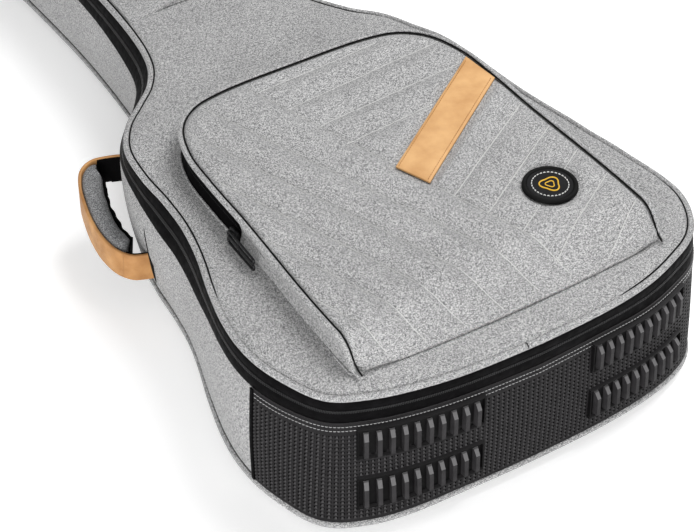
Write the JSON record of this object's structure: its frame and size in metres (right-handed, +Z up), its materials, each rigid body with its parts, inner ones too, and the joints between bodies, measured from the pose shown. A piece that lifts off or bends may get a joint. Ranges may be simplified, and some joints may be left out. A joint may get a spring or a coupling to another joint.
{
  "type": "padded gig bag",
  "caption": "Padded guitar-shaped bag lying on its back: hinged zip lid, quilted front pocket with folding flap, side carry handle, ribbed feet on the bottom guard.",
  "frame": {"origin": "middle of the lumbar cushion's rest face, under the foot end of the back panel", "axes": "+Z up through the lid and front pocket, +Y along the bag from foot end to head, -X towards the carry handle"},
  "size_m": [0.4416, 1.1508, 0.1917],
  "materials": {
    "heather_fabric": "coarse heather-grey woven polyester",
    "black_fabric": "black webbing and mesh fabric",
    "lining_fabric": "short-pile black lining",
    "foam": "closed-cell padding",
    "zip_tape": "black coated zip tape",
    "guard_rubber": "embossed rubberised fabric",
    "foot_rubber": "moulded matte rubber",
    "tan_leather": "tan leather, matte",
    "black_metal": "black lacquered zinc",
    "buckle_plastic": "moulded black acetal"
  },
  "bodies": {
    "case": {"back_panel_skin": "heather_fabric", "back_panel_foam": "foam", "back_panel_lining": "lining_fabric", "base_piping": "heather_fabric", "back_cushion_lumbar": "black_fabric", "back_cushion_spine": "black_fabric", "back_cushion_neck": "black_fabric", "gusset_skin": "heather_fabric", "bottom_guard": "guard_rubber", "gusset_foam_right": "foam", "gusset_foam_left": "foam", "gusset_lining": "lining_fabric", "case_zip_tape": "zip_tape", "case_hinge_fabric": "heather_fabric", "case_zip_coil": "zip_tape", "foot_left_lower": "foot_rubber", "foot_left_upper": "foot_rubber", "foot_right_lower": "foot_rubber", "foot_right_upper": "foot_rubber", "neck_cradle": "lining_fabric", "neck_strap": "black_fabric", "end_pad": "lining_fabric", "shoulder_strap_left": "black_fabric", "shoulder_strap_right": "black_fabric", "strap_webbing_left": "black_fabric", "strap_webbing_right": "black_fabric", "strap_buckle_left": "buckle_plastic", "strap_buckle_right": "buckle_plastic"},
    "lid": {"lid_skin": "heather_fabric", "lid_foam": "foam", "lid_lining": "lining_fabric", "lid_piping": "heather_fabric", "lid_zip_tape": "zip_tape", "lid_hinge_fabric": "heather_fabric", "lid_zip_coil": "zip_tape", "neck_pocket_panel": "heather_fabric", "pocket_gusset": "heather_fabric", "pocket_zip_tape": "zip_tape", "pocket_face_lower": "heather_fabric", "pocket_piping_lower": "heather_fabric", "pocket_lining": "lining_fabric", "badge_rim": "foot_rubber", "badge_disc": "buckle_plastic"},
    "pocket_flap": {"flap_zip_tape": "zip_tape", "pocket_face_upper": "heather_fabric", "pocket_piping_upper": "heather_fabric", "leather_strip": "tan_leather"},
    "handle": {"handle_leather": "tan_leather", "handle_grip": "heather_fabric", "handle_lining": "black_fabric"},
    "haul_loop": {"haul_loop": "black_fabric"},
    "main_slider_a": {"main_slider_a": "black_metal"},
    "main_slider_b": {"main_slider_b": "black_metal"},
    "main_puller_a": {"main_puller_a": "black_metal"},
    "main_puller_b": {"main_puller_b": "black_metal"},
    "pocket_slider": {"pocket_slider": "black_metal"},
    "pocket_puller": {"pocket_puller": "black_metal"}
  },
  "joints": [
    {"name": "lid_hinge", "type": "hinge", "parent": "case", "child": "lid", "pos_m": [0.2215, 0.04, 0.141], "axis": [-0.1551, 0.9879, 0], "range_deg": [0, 170]},
    {"name": "pocket_fold", "type": "hinge", "parent": "lid", "child": "pocket_flap", "pos_m": [0, 0.09235, 0.189], "axis": [1, 0, 0], "range_deg": [0, 110]},
    {"name": "handle_swing", "type": "hinge", "parent": "case", "child": "handle", "pos_m": [-0.18, 0.266, 0.052], "axis": [0.4036, 0.8895, 0.2141], "range_deg": [-22, 22]},
    {"name": "haul_loop_swing", "type": "hinge", "parent": "case", "child": "haul_loop", "pos_m": [0, 1.0112, 0.06], "axis": [1, 0, 0], "range_deg": [-30, 30]},
    {"name": "main_slide_a", "type": "slide", "parent": "case", "child": "main_slider_a", "axis": [-0.6925, 0.7214, 0], "range_m": [0, 0.035]},
    {"name": "main_slide_b", "type": "slide", "parent": "case", "child": "main_slider_b", "axis": [0.6925, -0.7214, 0], "range_m": [0, 0.008]},
    {"name": "main_pull_a", "type": "hinge", "parent": "main_slider_a", "child": "main_puller_a", "pos_m": [0.15127, 0.36815, 0.13504], "axis": [0.6925, -0.7214, 0], "range_deg": [0, 120]},
    {"name": "main_pull_b", "type": "hinge", "parent": "main_slider_b", "child": "main_puller_b", "pos_m": [0.16131, 0.35769, 0.13504], "axis": [0.6925, -0.7214, 0], "range_deg": [0, 120]},
    {"name": "pocket_slide", "type": "slide", "parent": "lid", "child": "pocket_slider", "axis": [0.0471, 0.9989, 0], "range_m": [0, 0.025]},
    {"name": "pocket_pull", "type": "hinge", "parent": "pocket_slider", "child": "pocket_puller", "pos_m": [-0.16346, 0.14837, 0.17], "axis": [0, 0, -1], "range_deg": [0, 120]}
  ]
}
